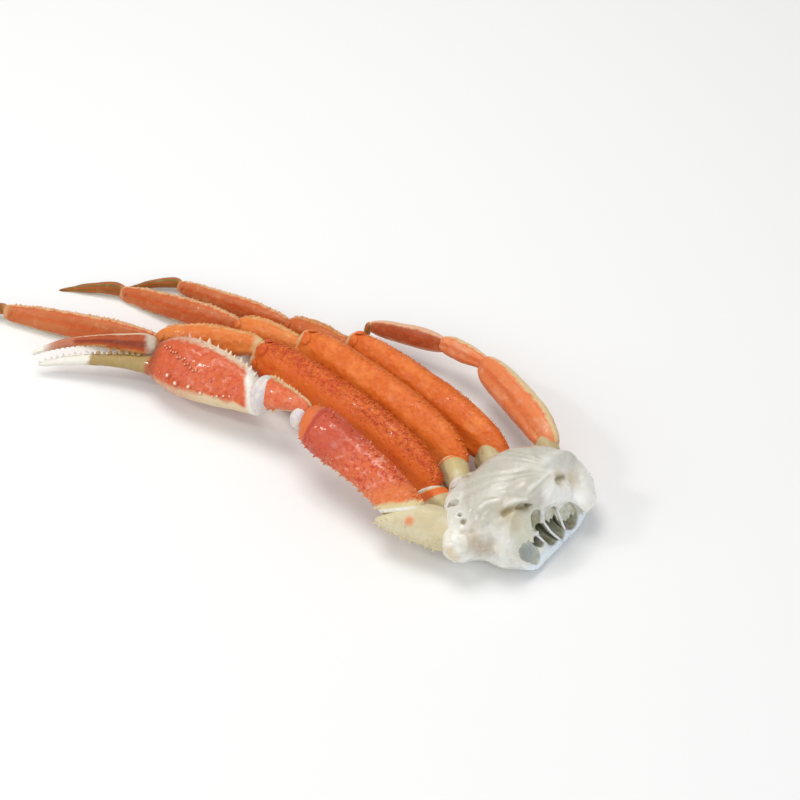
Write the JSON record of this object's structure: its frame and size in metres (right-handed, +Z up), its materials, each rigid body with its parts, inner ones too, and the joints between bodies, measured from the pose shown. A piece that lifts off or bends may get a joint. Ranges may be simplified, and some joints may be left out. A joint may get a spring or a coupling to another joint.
{
  "type": "snow crab cluster",
  "caption": "Cooked snow crab cluster: half of the body with its claw leg and walking legs, lying ready to serve.",
  "frame": {"origin": "on the table, under the middle of the cluster's bounding box", "axes": "+X along the cluster from the leg tips to the body half, +Y towards the thin last leg, +Z up from the table"},
  "size_m": [0.2373, 0.1429, 0.0304],
  "materials": {
    "flesh": "wet, translucent white shell and meat",
    "cream_shell": "glossy cream shell",
    "claw_shell": "glossy salmon-red shell",
    "claw_finger": "glossy orange-brown shell with a pale tip",
    "leg_shell": "glossy orange shell",
    "dactyl_shell": "satin olive-tan shell"
  },
  "bodies": {
    "root": {"shoulder": "flesh", "claw_ischium": "cream_shell", "claw_merus": "claw_shell", "claw_carpus": "claw_shell", "claw_palm": "claw_shell", "claw_finger": "claw_finger", "leg1_ischium": "cream_shell", "leg1_merus": "leg_shell", "leg1_carpus": "leg_shell", "leg1_propodus": "leg_shell", "leg1_dactyl": "dactyl_shell", "leg2_ischium": "cream_shell", "leg2_merus": "leg_shell", "leg2_carpus": "leg_shell", "leg2_propodus": "leg_shell", "leg2_dactyl": "dactyl_shell", "leg3_ischium": "cream_shell", "leg3_merus": "leg_shell", "leg3_carpus": "leg_shell", "leg3_propodus": "leg_shell", "leg3_dactyl": "dactyl_shell", "leg4_ischium": "cream_shell", "leg4_merus": "leg_shell", "leg4_carpus": "leg_shell", "leg4_propodus": "leg_shell", "leg4_dactyl": "dactyl_shell"}
  },
  "joints": []
}
